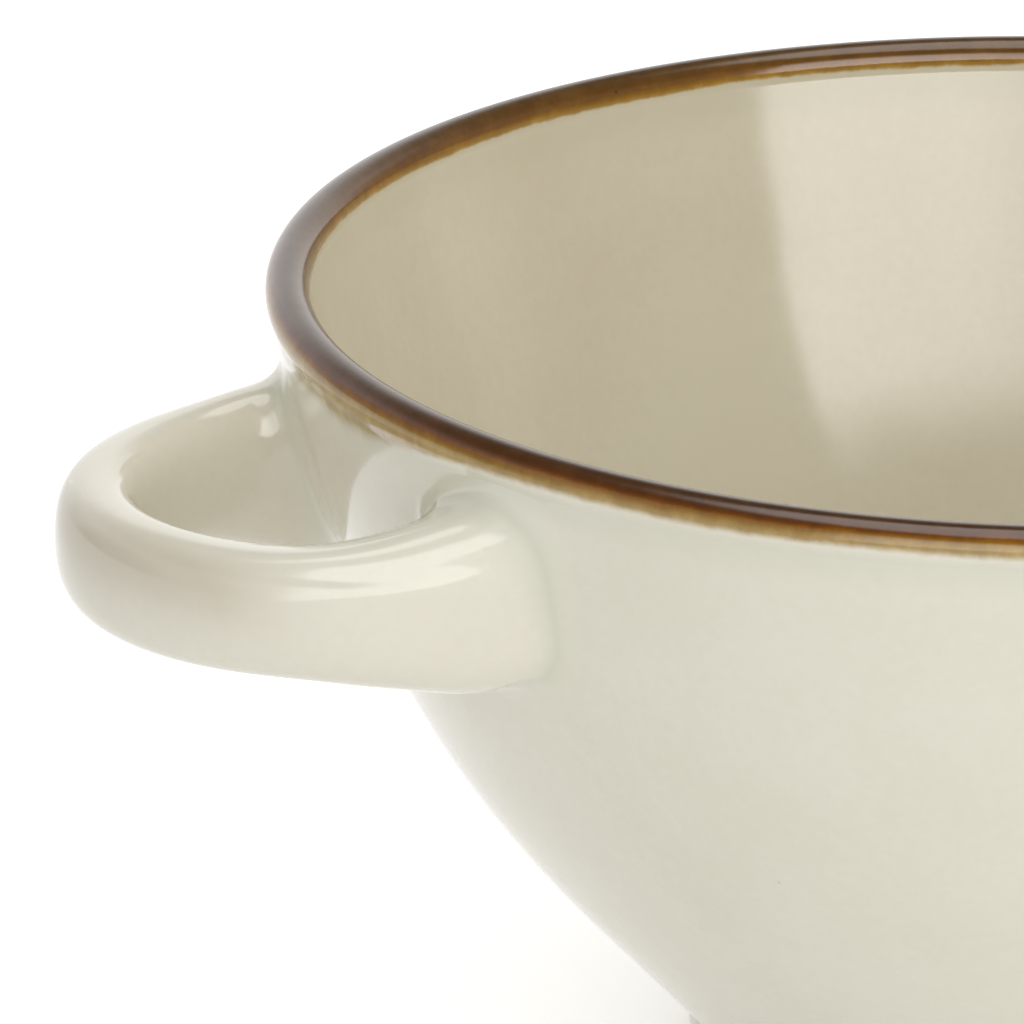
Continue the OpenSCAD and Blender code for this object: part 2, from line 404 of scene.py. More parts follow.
def worked(c, s, w, leg):
    """How far fingers moved the outer face, at the place in the section whose cosine and sine are c and s."""
    angle = np.degrees(np.arctan2(s, c))

    def band(middle, width):
        return np.exp(-0.5 * ((angle - middle) / width) ** 2)

    groove = RIDGE_HIGH * band(*RIDGE) - GROOVE_DEEP * band(*GROOVE)
    groove = groove * np.clip(w / GROOVE_START, 0, 1) ** 2 * np.clip((GROOVE_END - w) / GROOVE_FADE, 0, 1) ** 2
    shoulder = leg["shoulder"] * band(*SHOULDER) * fading(w, SHOULDER_REACH, WORK_POWER)
    return groove + shoulder - leg["waist"] * band(*WAIST) * fading(w, WAIST_REACH, WORK_POWER)


def blended(p, leg):
    """The distance to the handle melted into the wall, and how much glaze pools there, 0 to 1."""
    w = wall_distance(p)
    d = strap_distance(p, w, leg)
    c, s, _, _ = strap_place(p, w, leg)
    size = np.hypot(c, s) + 1e-9
    c, s = c / size, s / size
    d = d - worked(c, s, w, leg)
    reach = smooth_reach(c, s, leg)
    h = np.maximum(reach - np.abs(d - w), 0)
    filled = h**2 / (4 * reach)
    return np.minimum(d, w) - filled, filled / reach * 4


print("blended surface ready")

# %% [markdown]
# Rows of points run along the strap, close together near the wall. Each starts as the strap's own section, widened by
# the amount that a smooth minimum of two flat faces would give. On the straight part a row follows the wall at its
# distance w, and on the bend it stands square to the strap.

# %% Rows of points along the strap
AROUND = 144
BEND_START = 6
section_angles = np.linspace(0, 2 * math.pi, AROUND, endpoint=False)


def signed_power(v, e):
    return np.sign(v) * np.abs(v) ** e


section = np.stack([
    signed_power(np.cos(section_angles), 2 / SECTION_POWER),
    signed_power(np.sin(section_angles), 2 / SECTION_POWER),
], axis=1)


def joint_row(w, leg, beyond=0.0):
    c, s = np.cos(section_angles), np.sin(section_angles)
    reach = smooth_reach(c, s, leg)
    grow = np.maximum(np.sqrt(reach) - np.sqrt(w), 0) ** 2 + beyond + worked(c, s, w, leg)
    half_t, half_h, middle = strap_size(w, c > 0, leg)
    y = LOOP_R + section[:, 0] * half_t + c * grow
    z = middle + section[:, 1] * half_h + s * grow
    radius = np.interp(z, wall_heights, wall_radii) + w
    return np.stack([np.sqrt(radius**2 - y**2), y, z], axis=1)


def bend_row(phi, leg):
    half_t, half_h, middle = strap_size(LOOP_R * phi + BEND_START, section[:, 0] > 0, leg)
    sideways = LOOP_R + section[:, 0] * half_t
    return np.stack([
        LOOP_X + sideways * math.sin(phi), sideways * math.cos(phi), middle + section[:, 1] * half_h,
    ], axis=1)


print(f"rows of {AROUND} points ready")

# %% [markdown]
# A few Newton steps along the blended distance's slope then bring every point on to the surface, and that slope is
# also the exact normal. The first row of a leg is a skirt that lies just under the wall's glaze, so no edge shows.
# The two halves meet at the middle of the bend, the front one turned over to the other side.

# %% Bring the rows on to the blended surface
JOINT_ROWS, JOINT_RUN = 40, 9.0
BEND_ROWS, FIRST_BEND = 34, math.radians(24)
EDGE_SPREAD, SKIRT_SPREAD, SKIRT_SUNK = 0.6, 1.2, 0.06
NEWTON_STEPS, LONGEST_STEP, LEAST_SLOPE = 8, 0.6, 0.2
POOL_SHARE = 0.7


def slope_of(distance, p, step=0.01):
    return np.stack([(distance(p + e) - distance(p - e)) / (2 * step) for e in step * np.eye(3)], axis=1)


def half_strap(leg):
    """Points, normals and pool shares of the rows from a joint to the middle of the bend, on the y side."""
    def surface(p):
        return blended(p, leg)[0]

    rows = [joint_row(0, leg, EDGE_SPREAD)]
    rows += [joint_row(w, leg) for w in JOINT_RUN * np.linspace(0, 1, JOINT_ROWS) ** 2]
    rows += [rows[-1] * (1 - t) + bend_row(FIRST_BEND, leg) * t for t in (0.2, 0.4, 0.6, 0.8)]
    rows += [bend_row(phi, leg) for phi in np.linspace(FIRST_BEND, math.pi / 2, BEND_ROWS)]
    p = np.array(rows).reshape(-1, 3)
    for _ in range(NEWTON_STEPS):
        slope = slope_of(surface, p)
        steep = np.maximum((slope**2).sum(axis=1), LEAST_SLOPE)[:, None]
        p = p - np.clip(surface(p), -LONGEST_STEP, LONGEST_STEP)[:, None] * slope / steep
    print(f"rows of one leg: within {np.abs(surface(p)).max():.4f} mm of the blended surface")
    rows, normals = p.reshape(-1, AROUND, 3), slope_of(surface, p).reshape(-1, AROUND, 3)
    pool = blended(p, leg)[1].reshape(-1, AROUND)
    skirt = joint_row(0, leg, SKIRT_SPREAD)
    radius = np.interp(skirt[:, 2], wall_heights, wall_radii) - SKIRT_SUNK
    skirt[:, 0] = np.sqrt(radius**2 - skirt[:, 1] ** 2)
    return (np.concatenate([skirt[None], rows]),
            np.concatenate([slope_of(wall_distance, skirt)[None], normals]),
            np.concatenate([pool[:1], pool]))


rear, rear_normals, rear_pool = half_strap(REAR_LEG)
front, front_normals, front_pool = half_strap(FRONT_LEG)
turn_over = [1, -1, 1]
strap = np.concatenate([rear, front[-2::-1] * turn_over])
strap_normals = np.concatenate([rear_normals, front_normals[-2::-1] * turn_over])
strap_pool = POOL_SHARE * np.concatenate([rear_pool, front_pool[-2::-1]])
print(f"handle: {strap.shape[0]} rows of {AROUND}")

# %% [markdown]
# A share of painted shade darkens the handle: a band along the outer face towards the tip, and the strap's inner face
# inside the loop, where shade falls. That share goes to the material too, which blends a warmer, darker cream in by it.

# %% Painted shade on the handle
EDGE_BAND, EDGE_START, EDGE_FADE, EDGE_POWER = (32, 24), 12, 7, 1.5
INNER_PAINTED_SHADE, INNER_FADE = 0.45, 3


# Painted shade, 0 to 1: a band on the outer face towards the tip, and the strap's inner face inside the loop.
def painted_shade_share(p):
    p = np.abs(p)
    w = wall_distance(p)
    c, s, _, _ = strap_place(p, w, REAR_LEG)
    angle = np.degrees(np.arctan2(s, c))
    edge = np.exp(-0.5 * ((angle - EDGE_BAND[0]) / EDGE_BAND[1]) ** 2)
    edge = edge * np.clip((w - EDGE_START) / EDGE_FADE, 0, 1) ** EDGE_POWER
    inner_face = INNER_PAINTED_SHADE * np.clip(-c / np.hypot(c, s), 0, 1) ** 2 * np.clip(w / INNER_FADE, 0, 1)
    return np.clip(edge + inner_face, 0, 1)


strap_painted_shade = painted_shade_share(strap.reshape(-1, 3))
print(f"the handle's glaze is darkened by up to {strap_painted_shade.max():.0%}")

# %% [markdown]
# The same strap serves both sides, mirrored for the left. Its faces turn over with it, and its points take the same
# slow waves as the wall.

# %% Two handles
def handle(name, side):
    points, normals = strap.reshape(-1, 3) * [side, 1, 1], strap_normals.reshape(-1, 3) * [side, 1, 1]
    faces = grid_faces(strap.shape[0], AROUND).reshape(-1, 4)
    if side < 0:
        faces = faces[:, ::-1]
    # The 'thin' share on the points is the painted shade of the handle.
    return make_piece(name, hand_waves(points), faces, waved_normals(points, normals),
                      {"pool": strap_pool.ravel(), "thin": strap_painted_shade})


left_handle_skin = handle("left_handle_coat", -1)
right_handle_skin = handle("right_handle_coat", 1)

# %% [markdown]
# # Finishes
# Every finish below is worked out from the place on the crock, not from an unwrapped picture, so the coats match where
# they meet. Short helpers keep the node trees readable: each adds one node and gives back its output.

# %% Helpers for node trees
def linear(r, g, b):
    """A colour as seen on a screen, 0 to 255, as the linear numbers that a shader takes."""
    return tuple((c / 255 / 12.92) if c <= 10 else ((c / 255 + 0.055) / 1.055) ** 2.4 for c in (r, g, b)) + (1.0,)


def set_input(tree, socket, value):
    if isinstance(value, bpy.types.NodeSocket):
        tree.links.new(value, socket)
    else:
        socket.default_value = value


def add(tree, kind, inputs=None, **settings):
    node = tree.nodes.new(kind)
    for key, value in settings.items():
        setattr(node, key, value)
    for key, value in (inputs or {}).items():
        set_input(tree, node.inputs[key], value)
    return node


def calc(tree, operation, *values, clamp=False):
    return add(tree, "ShaderNodeMath", dict(enumerate(values)), operation=operation, use_clamp=clamp).outputs[0]


def vector(tree, operation, *values, output="Vector"):
    return add(tree, "ShaderNodeVectorMath", dict(enumerate(values)), operation=operation).outputs[output]


def spread(tree, value, low, high, to_low=0.0, to_high=1.0, smooth=True):
    node = add(tree, "ShaderNodeMapRange", {0: value, 1: low, 2: high, 3: to_low, 4: to_high},
               interpolation_type="SMOOTHSTEP" if smooth else "LINEAR")
    return node.outputs[0]


def blend_colour(tree, factor, a, b, mode="MIX"):
    return add(tree, "ShaderNodeMix", {0: factor, 6: a, 7: b}, data_type="RGBA", blend_type=mode).outputs[2]


def colour_steps(tree, value, steps):
    node = add(tree, "ShaderNodeValToRGB", {0: value})
    ramp = node.color_ramp
    while len(ramp.elements) < len(steps):
        ramp.elements.new(0.5)
    for element, (place, colour) in zip(ramp.elements, steps):
        element.position, element.color = place, linear(*colour)
    return node.outputs[0]


print("node helpers ready")

# %% [markdown]
# Place, noise and groups need a few helpers more. A point's place comes from the object's own coordinates, which are
# metres from the crock's foot, and noise takes the size of its lumps in millimetres.

# %% Helpers for place, noise and node groups
FLAT = (1, 1, 0)


def object_place(tree):
    return add(tree, "ShaderNodeTexCoord").outputs["Object"]


def height_of(tree, place):
    return add(tree, "ShaderNodeSeparateXYZ", {0: place}).outputs[2]


def noise(tree, place, size_mm, detail=2.0, roughness=0.5):
    node = add(tree, "ShaderNodeTexNoise",
               {"Vector": place, "Scale": 1000 / size_mm, "Detail": detail, "Roughness": roughness})
    return node.outputs["Fac"]


def new_group(name, inputs, outputs):
    """A shader node group. inputs: {name: (kind, start value)}, outputs: {name: kind}."""
    tree = bpy.data.node_groups.new(name, "ShaderNodeTree")
    for label, (kind, start) in inputs.items():
        socket = tree.interface.new_socket(name=label, in_out="INPUT", socket_type="NodeSocket" + kind)
        socket.default_value = start
    for label, kind in outputs.items():
        tree.interface.new_socket(name=label, in_out="OUTPUT", socket_type="NodeSocket" + kind)
    return tree, tree.nodes.new("NodeGroupInput").outputs, tree.nodes.new("NodeGroupOutput").inputs


def place_group(tree, group, **inputs):
    node = add(tree, "ShaderNodeGroup", node_tree=group)
    for label, value in inputs.items():
        set_input(tree, node.inputs[label.replace("_", " ")], value)
    return node.outputs


print("group helpers ready")

# %% [markdown]
# ## Where a point lies on the lip
# The brown glaze follows the roll of the lip. Seen in section the lip is a circle, so a point's turn round it, away
# from the crest, says which layer of the band it is in, and whether it is on the bowl's outside or inside. The arc
# tangent of height over radius gives that turn. A painted mask would need an unwrapped mesh and its own image.

# %% Node group: lip_turn
lip_turn, _, put = new_group("lip_turn", {}, {"Turn": "Float", "Outside": "Float", "Depth": "Float"})
place = object_place(lip_turn)
radius = vector(lip_turn, "LENGTH", vector(lip_turn, "MULTIPLY", place, FLAT), output="Value")
height = height_of(lip_turn, place)
bearing_angle = calc(lip_turn, "ARCTAN2", calc(lip_turn, "SUBTRACT", height, LIP_Z * MM),
                     calc(lip_turn, "SUBTRACT", radius, LIP_X * MM))
past = calc(lip_turn, "LESS_THAN", bearing_angle, -math.pi / 2)
bearing_angle = calc(lip_turn, "MULTIPLY_ADD", past, 2 * math.pi, bearing_angle)
from_crest = calc(lip_turn, "ABSOLUTE", calc(lip_turn, "SUBTRACT", bearing_angle, math.pi / 2))
lip_turn.links.new(calc(lip_turn, "MULTIPLY", from_crest, 180 / math.pi), put["Turn"])
lip_turn.links.new(calc(lip_turn, "LESS_THAN", bearing_angle, math.pi / 2), put["Outside"])
depth = calc(lip_turn, "MULTIPLY", calc(lip_turn, "SUBTRACT", HEIGHT * MM, height), 1 / MM)
lip_turn.links.new(depth, put["Depth"])
print("lip_turn: degrees from the crest, side, and millimetres below the top")

# %% [markdown]
# ## The iron band
# Iron glaze over cream breaks with its thickness: almost black on the crest, rust below it, then honey, and a thin
# tan veil that ends pale over the cream. Outside, the veil is wide; inside, the brown stops sooner. Two colour ramps
# hold these layers by their turn from the crest, and noise bends their edges into small runs. Towards the left handle
# the brush was loaded: there the dark layers reach further down, and the veil hangs lower still.

# %% Node group: iron_band
RAMP_DEGREES = 120.0
THICK_TOWARDS, LOADED_TOWARDS = (-0.94, -0.34, 0.0), (-0.995, 0.10, 0.0)
OUTER_LAYERS = [
    (0.00, (76, 50, 24)), (0.20, (84, 50, 20)), (0.27, (92, 54, 20)), (0.33, (112, 62, 10)),
    (0.38, (130, 84, 12)), (0.44, (138, 98, 20)), (0.52, (158, 128, 62)), (0.64, (176, 150, 96)),
    (0.74, (190, 166, 118)), (0.88, (188, 168, 128)),
]
INNER_LAYERS = [
    (0.00, (78, 54, 26)), (0.18, (90, 64, 32)), (0.38, (100, 70, 32)), (0.50, (110, 74, 24)),
    (0.60, (122, 80, 14)), (0.68, (146, 104, 22)), (0.75, (166, 130, 56)), (0.84, (190, 160, 100)),
]

iron_band, get, put = new_group(
    "iron_band",
    {"Outer End": ("Float", 97.0), "Inner End": ("Float", 97.0), "Edge Wander": ("Float", 8.5),
     "Mottle": ("Float", 0.5), "Loaded Brush": ("Float", 58.0), "Thick Side": ("Float", 14.0)},
    {"Colour": "Color", "Amount": "Float", "Thickness": "Float"},
)
where = place_group(iron_band, lip_turn)
place = object_place(iron_band)
slow = calc(iron_band, "SUBTRACT", noise(iron_band, place, 14, 2, 0.6), 0.5)
quick = calc(iron_band, "SUBTRACT", noise(iron_band, place, 1.6, 3, 0.6), 0.5)
wander = calc(iron_band, "MULTIPLY_ADD", quick, 0.75, slow)
wander = calc(iron_band, "MULTIPLY", wander, calc(iron_band, "MULTIPLY", get["Edge Wander"], 2.0))
turn_now = calc(iron_band, "ADD", where["Turn"], wander)

heading = vector(iron_band, "NORMALIZE", vector(iron_band, "MULTIPLY", place, FLAT))
thick = vector(iron_band, "DOT_PRODUCT", heading, THICK_TOWARDS, output="Value")
thick = spread(iron_band, thick, 0.55, 0.97, 0.0, get["Thick Side"])
share = calc(iron_band, "DIVIDE", calc(iron_band, "SUBTRACT", turn_now, thick), RAMP_DEGREES, clamp=True)
layers = blend_colour(iron_band, where["Outside"], colour_steps(iron_band, share, INNER_LAYERS),
                      colour_steps(iron_band, share, OUTER_LAYERS))
blotch = spread(iron_band, noise(iron_band, place, 2.4, 4, 0.65), 0.35, 0.7)
mottled = blend_colour(iron_band, blotch, (0.70, 0.62, 0.50, 1), (1.22, 1.2, 1.15, 1))
mottled = blend_colour(iron_band, 1.0, layers, mottled, "MULTIPLY")
layers = blend_colour(iron_band, get["Mottle"], layers, mottled)

loaded = vector(iron_band, "DOT_PRODUCT", heading, LOADED_TOWARDS, output="Value")
loaded = spread(iron_band, loaded, 0.88, 0.99, 0.0, get["Loaded Brush"])
outer_end = calc(iron_band, "ADD", get["Outer End"], loaded)
longer = calc(iron_band, "SUBTRACT", outer_end, get["Inner End"])
end = calc(iron_band, "ADD", get["Inner End"], calc(iron_band, "MULTIPLY", where["Outside"], longer))
soft = calc(iron_band, "ADD", 5.0, calc(iron_band, "MULTIPLY", where["Outside"], 7.0))
fade = calc(iron_band, "DIVIDE", calc(iron_band, "SUBTRACT", end, turn_now), soft)
near_lip = calc(iron_band, "LESS_THAN", where["Depth"], 6.0)
amount = calc(iron_band, "MULTIPLY", spread(iron_band, fade, -1.0, 1.0), near_lip)
iron_band.links.new(layers, put["Colour"])
iron_band.links.new(amount, put["Amount"])
iron_band.links.new(spread(iron_band, share, 0.2, 0.6, 1.0, 0.0), put["Thickness"])
print("iron_band: colour of the layers, how much of it covers the cream, and its thickness")

# %% [markdown]
# ## The cream glaze
# The cream coat is a little warmer where it is thin and a little greener where it pools, in the crease under the lip
# and round the joints of the handles. On the handles a browner tone is painted in as shade: along the outer face
# towards the tip and on the strap's inner face. The handles hand over the pool share and the painted shade share as
# numbers on the points of their meshes. Faint clouds run through all of it.

# %% Node group: cream_clouds
WHITE = (1, 1, 1, 1)
CREASE_POOL = 0.35

cream_clouds, get, put = new_group(
    "cream_clouds",
    {"Thin": ("Color", WHITE), "Full": ("Color", WHITE), "Pooled": ("Color", WHITE), "Worn": ("Color", WHITE),
     "Pool": ("Float", 0.0), "Wear": ("Float", 0.0)},
    {"Colour": "Color"},
)
where = place_group(cream_clouds, lip_turn)
place = object_place(cream_clouds)
clouds = noise(cream_clouds, place, 34, 3, 0.55)
grain = noise(cream_clouds, place, 1.1, 3, 0.6)
thickness = calc(cream_clouds, "MULTIPLY_ADD", calc(cream_clouds, "SUBTRACT", grain, 0.5), 0.35, clouds)
body = blend_colour(cream_clouds, spread(cream_clouds, thickness, 0.3, 0.7), get["Thin"], get["Full"])
crease = calc(cream_clouds, "MULTIPLY", spread(cream_clouds, where["Depth"], 2.2, 3.4),
              spread(cream_clouds, where["Depth"], 3.6, 6.5, 1.0, 0.0))
crease = calc(cream_clouds, "MULTIPLY", crease, CREASE_POOL)
pool = calc(cream_clouds, "MAXIMUM", crease, get["Pool"], clamp=True)
body = blend_colour(cream_clouds, pool, body, get["Pooled"])
# Painted shade: the handles' share blends in the darker cream, with less of it where the clouds are high.
shade_amount = calc(cream_clouds, "MULTIPLY", get["Wear"], spread(cream_clouds, clouds, 0.2, 0.7, 1.0, 0.6))
cream_clouds.links.new(blend_colour(cream_clouds, shade_amount, body, get["Worn"]), put["Colour"])
print("cream_clouds: colour of the cream coat")

# %% [markdown]
# Iron in the clay bleeds through as rare specks. A Voronoi texture scatters one point in each of its cells, the cell's
# own random colour picks which of them are specks and how large they are, and the group puts out a mask.

# %% Node group: iron_specks
iron_specks, get, put = new_group(
    "iron_specks",
    {"Spacing mm": ("Float", 5.0), "Share": ("Float", 0.1), "Size": ("Float", 0.05)},
    {"Mask": "Float"},
)
cells = add(iron_specks, "ShaderNodeTexVoronoi", {
    "Vector": object_place(iron_specks), "Scale": calc(iron_specks, "DIVIDE", 1 / MM, get["Spacing mm"])})
chosen = add(iron_specks, "ShaderNodeSeparateColor", {0: cells.outputs["Color"]}).outputs
present = calc(iron_specks, "LESS_THAN", chosen[0], get["Share"])
reach = calc(iron_specks, "MULTIPLY", get["Size"], spread(iron_specks, chosen[1], 0.0, 1.0, 0.5, 1.4, False))
dot = calc(iron_specks, "DIVIDE", calc(iron_specks, "SUBTRACT", reach, cells.outputs["Distance"]), reach, clamp=True)
iron_specks.links.new(calc(iron_specks, "MULTIPLY", present, spread(iron_specks, dot, 0.0, 0.6)), put["Mask"])
print("iron_specks: a mask of scattered dots")

# %% [markdown]
# ## The fired surface
# Glaze is glass that has flowed, so its surface is smooth but never flat: slow ripples about a centimetre apart bend
# the edges of a reflection, and a very fine skin texture softens it. Both go into one height, and each material turns
# it into a normal with its own Bump node.

# %% Node group: glaze_ripple
glaze_ripple, get, put = new_group(
    "glaze_ripple", {"Ripple": ("Float", 1.0), "Skin": ("Float", 1.0)}, {"Height": "Float"})
place = object_place(glaze_ripple)
ripple = calc(glaze_ripple, "MULTIPLY", noise(glaze_ripple, place, 13, 1, 0.4), get["Ripple"])
skin = calc(glaze_ripple, "MULTIPLY", noise(glaze_ripple, place, 0.9, 2, 0.5), get["Skin"])
glaze_ripple.links.new(calc(glaze_ripple, "MULTIPLY_ADD", skin, 0.03, ripple), put["Height"])
print("glaze_ripple: one height for slow ripples and fine skin")

# %% [markdown]
# ## Three materials from the same groups
# The outer cream, the liner's cream and the brown glaze take the same groups with the same values, so the band
# runs over the cuts between the coats without a step. The liner's cream is warmer than the outer, as the liner glaze
# is;
# it is also darker, and that darkness is painted shade of the bowl's inside. The brown coat lies across the lip, so the
# cream under its band changes from one tone to the other at the crest. Its iron makes it a little drier, and its skin
# is coarser. The gloss itself is the Principled shader's own, with the refractive index of glass.

# %% Glazed materials
OUTER_CREAM = (linear(228, 223, 205), linear(233, 229, 213), linear(209, 210, 190))
# The liner's cream is darker than the outer's as painted shade of the bowl's inside; its warmer hue is the liner
# glaze's own.
SHADED_LINER_CREAM = (linear(207, 198, 174), linear(213, 205, 182), linear(196, 190, 165))
# PAINTED_SHADE_CREAM is the darker cream of the painted shade on the handles.
PAINTED_SHADE_CREAM, SPECK, FLECK = linear(196, 186, 166), linear(120, 88, 52), linear(48, 30, 14)
GLASS_IOR, DRYNESS, BUMP_STRENGTH, BUMP_HEIGHT = 1.5, 0.08, 0.35, 0.0003
ACROSS_LIP = "across the lip"


def glaze(name, roughness, skin_amount, inside):
    """inside: 0 for the outer cream, 1 for the liner's, or ACROSS_LIP."""
    material = bpy.data.materials.new(name)
    material.use_nodes = True
    tree = material.node_tree
    shader = tree.nodes["Principled BSDF"]
    # The 'thin' attribute carries the handles' painted shade share.
    pool, shade_amount = (add(tree, "ShaderNodeAttribute", attribute_name=label).outputs["Fac"] for label in ("pool", "thin"))
    if inside == ACROSS_LIP:
        inside = calc(tree, "SUBTRACT", 1.0, place_group(tree, lip_turn)["Outside"])
    thin, full, pooled = (blend_colour(tree, inside, outer, liner) for outer, liner in zip(OUTER_CREAM, SHADED_LINER_CREAM))
    cream = place_group(tree, cream_clouds, Thin=thin, Full=full, Pooled=pooled, Worn=PAINTED_SHADE_CREAM,
                        Pool=pool, Wear=shade_amount)["Colour"]
    specks = place_group(tree, iron_specks, Spacing_mm=7.0, Share=0.05, Size=0.045)["Mask"]
    cream = blend_colour(tree, calc(tree, "MULTIPLY", specks, 0.8), cream, SPECK)
    band = place_group(tree, iron_band, Outer_End=97.0, Inner_End=97.0, Edge_Wander=8.5, Mottle=0.5,
                       Loaded_Brush=58.0, Thick_Side=14.0)
    colour = blend_colour(tree, band["Amount"], cream, band["Colour"])
    flecks = place_group(tree, iron_specks, Spacing_mm=1.6, Share=0.10, Size=0.10)["Mask"]
    flecks = calc(tree, "MULTIPLY", flecks, band["Amount"])
    colour = blend_colour(tree, calc(tree, "MULTIPLY", flecks, 0.6), colour, FLECK)
    tree.links.new(colour, shader.inputs["Base Color"])
    dry = calc(tree, "MULTIPLY", band["Thickness"], band["Amount"])
    tree.links.new(calc(tree, "MULTIPLY_ADD", dry, DRYNESS, roughness), shader.inputs["Roughness"])
    height = place_group(tree, glaze_ripple, Ripple=1.0, Skin=skin_amount)["Height"]
    bump = add(tree, "ShaderNodeBump", {"Height": height, "Strength": BUMP_STRENGTH, "Distance": BUMP_HEIGHT})
    tree.links.new(bump.outputs[0], shader.inputs["Normal"])
    shader.inputs["IOR"].default_value = GLASS_IOR
    print("material:", name)
    return material


cream_glaze = glaze("cream_glaze", 0.10, 0.6, 0.0)
# The liner's material carries painted shade of the bowl's inside in its darker cream.
liner_glaze_shaded = glaze("cream_liner_glaze_painted_shade", 0.10, 0.6, 1.0)
brown_glaze = glaze("brown_iron_glaze", 0.12, 2.6, ACROSS_LIP)

# %% [markdown]
# The foot is turned clay that was wiped clean before the firing. It is matt, buff to toasted, with fine rings from the
# turning tool and dark grains of iron. The rings follow the distance from the axis, as the tool's did.

# %% Bare stoneware
BUFF, TOASTED = linear(206, 180, 144), linear(184, 146, 104)
RING_BROWN, GRIT_BROWN = linear(150, 120, 88), linear(104, 74, 50)

bare_clay = bpy.data.materials.new("bare_stoneware")
bare_clay.use_nodes = True
tree = bare_clay.node_tree
shader = tree.nodes["Principled BSDF"]
place = object_place(tree)
radius = vector(tree, "LENGTH", vector(tree, "MULTIPLY", place, FLAT), output="Value")
ring_place = add(tree, "ShaderNodeCombineXYZ", {0: radius, 1: height_of(tree, place), 2: 0.0}).outputs[0]
rings_height = noise(tree, ring_place, 0.8, 2, 0.6)
toast = spread(tree, noise(tree, place, 16, 3, 0.6), 0.35, 0.7)
clay_colour = blend_colour(tree, toast, BUFF, TOASTED)
clay_colour = blend_colour(tree, calc(tree, "MULTIPLY", rings_height, 0.25), clay_colour, RING_BROWN)
grit = place_group(tree, iron_specks, Spacing_mm=1.4, Share=0.25, Size=0.14)["Mask"]
clay_colour = blend_colour(tree, calc(tree, "MULTIPLY", grit, 0.7), clay_colour, GRIT_BROWN)
tree.links.new(clay_colour, shader.inputs["Base Color"])
tree.links.new(spread(tree, rings_height, 0.3, 0.7, 0.72, 0.9), shader.inputs["Roughness"])
grain_height = calc(tree, "MULTIPLY_ADD", noise(tree, place, 0.5, 3, 0.6), 0.4, rings_height)
bump = add(tree, "ShaderNodeBump", {"Height": grain_height, "Strength": 0.6, "Distance": 0.0002})
tree.links.new(bump.outputs[0], shader.inputs["Normal"])
print("material:", bare_clay.name)

# %% [markdown]
# ## Dressing the model
# Each coat stands for its own solid. A handle's skin stands for four: the clay loop, its glaze and the two slip
# fillets, because the glaze hides where one ends and the next begins. The clay bowl and the glaze inside the foot ring
# have the right shape already, so they keep their solids and only get a finish.

# %% Give each piece its finish and its place
def finish(piece, material):
    piece.data.materials.clear()
    piece.data.materials.append(material)


def dress(piece, material, slot, *stands_for):
    finish(piece, material)
    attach(piece, "root")
    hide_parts(*stands_for)
    print(piece.name, "stands for", ", ".join(stands_for))


dress(outer_coat, cream_glaze, "cream_glaze", "outer_glaze")
dress(rim_coat, brown_glaze, "brown_glaze", "rim_glaze")
dress(liner_coat, liner_glaze_shaded, "cream_glaze", "liner_glaze")
dress(left_handle_skin, cream_glaze, "cream_glaze",
      "left_handle", "left_handle_glaze", "left_front_slip_fillet", "left_rear_slip_fillet")
dress(right_handle_skin, cream_glaze, "cream_glaze",
      "right_handle", "right_handle_glaze", "right_front_slip_fillet", "right_rear_slip_fillet")
for name, material in (("bowl_body", bare_clay), ("base_glaze", cream_glaze)):
    finish(nodes[name], material)
    print(name, "keeps its solid, in", material.name)

# %% [markdown]
# # The studio
# The crock stands on a wide pale floor that runs off to white. The floor takes its shadow, but camera and
# reflections see it brighter than the light on it alone would make it, as a lit paper sweep looks.

# %% Floor
FLOOR_GLOW = 0.46

bpy.ops.mesh.primitive_grid_add(x_subdivisions=8, y_subdivisions=8, size=6, location=(0, 0, 0))
floor_sheet = bpy.context.object
floor_sheet.name = "paper_floor"
paper = bpy.data.materials.new("white_paper")
paper.use_nodes = True
tree = paper.node_tree
shader = tree.nodes["Principled BSDF"]
tint = spread(tree, noise(tree, object_place(tree), 3, 3, 0.5), 0.3, 0.7)
tree.links.new(blend_colour(tree, tint, (0.88, 0.88, 0.88, 1), (0.90, 0.90, 0.895, 1)), shader.inputs["Base Color"])
shader.inputs["Roughness"].default_value = 0.95
shader.inputs["Specular IOR Level"].default_value = 0.0
light_path = add(tree, "ShaderNodeLightPath").outputs
seen = calc(tree, "MAXIMUM", light_path["Is Camera Ray"],
            calc(tree, "MAXIMUM", light_path["Is Glossy Ray"], light_path["Is Transmission Ray"]))
shader.inputs["Emission Color"].default_value = WHITE
tree.links.new(calc(tree, "MULTIPLY", seen, FLOOR_GLOW), shader.inputs["Emission Strength"])
floor_sheet.data.materials.append(paper)
print("floor: 6 m of white paper")

# %% [markdown]
# The surroundings have two parts, and Light Path chooses between them. What the gloss meets is a small studio, worked
# out from the highlights in the photo: a white sweep that darkens overhead, a dark card at the left rear and another
# at the right, a low light behind the crock, a wide window behind the camera and a bright patch of ceiling. What lights
# matt surfaces is a plain glow, dimmer from the left rear. The camera itself sees white. Real walls and lamps could be
# modelled, but a formula of direction is quicker to render and simpler to tune.
#
# In that formula x, y and up are the parts of a ray's direction. The window lies in a wall on the viewer's side, and
# along is how far to the right a ray meets that wall. Its left edge is soft, its right edge sharp, and it is brighter
# towards the right.

# %% World
LEFT_CARD, RIGHT_CARD, BEHIND, DIM_CORNER = (-0.83, 0.56), (0.92, -0.40), (0.36, 0.93), (-0.90, 0.44)
BACK_LIGHT, CEILING_LIGHT = 0.35, 3.2
WINDOW_LEFT, WINDOW_RIGHT = 2.7, 4.6
GLOW_LEVEL, GLOW_RISE = 0.80, 0.17

world = bpy.data.worlds.new("studio")
bpy.context.scene.world = world
world.use_nodes = True
tree = world.node_tree
background = tree.nodes["Background"]
direction = add(tree, "ShaderNodeTexCoord").outputs["Generated"]
x, y, up = add(tree, "ShaderNodeSeparateXYZ", {0: direction}).outputs


def toward(heading):
    return vector(tree, "DOT_PRODUCT", direction, (*heading, 0.0), output="Value")


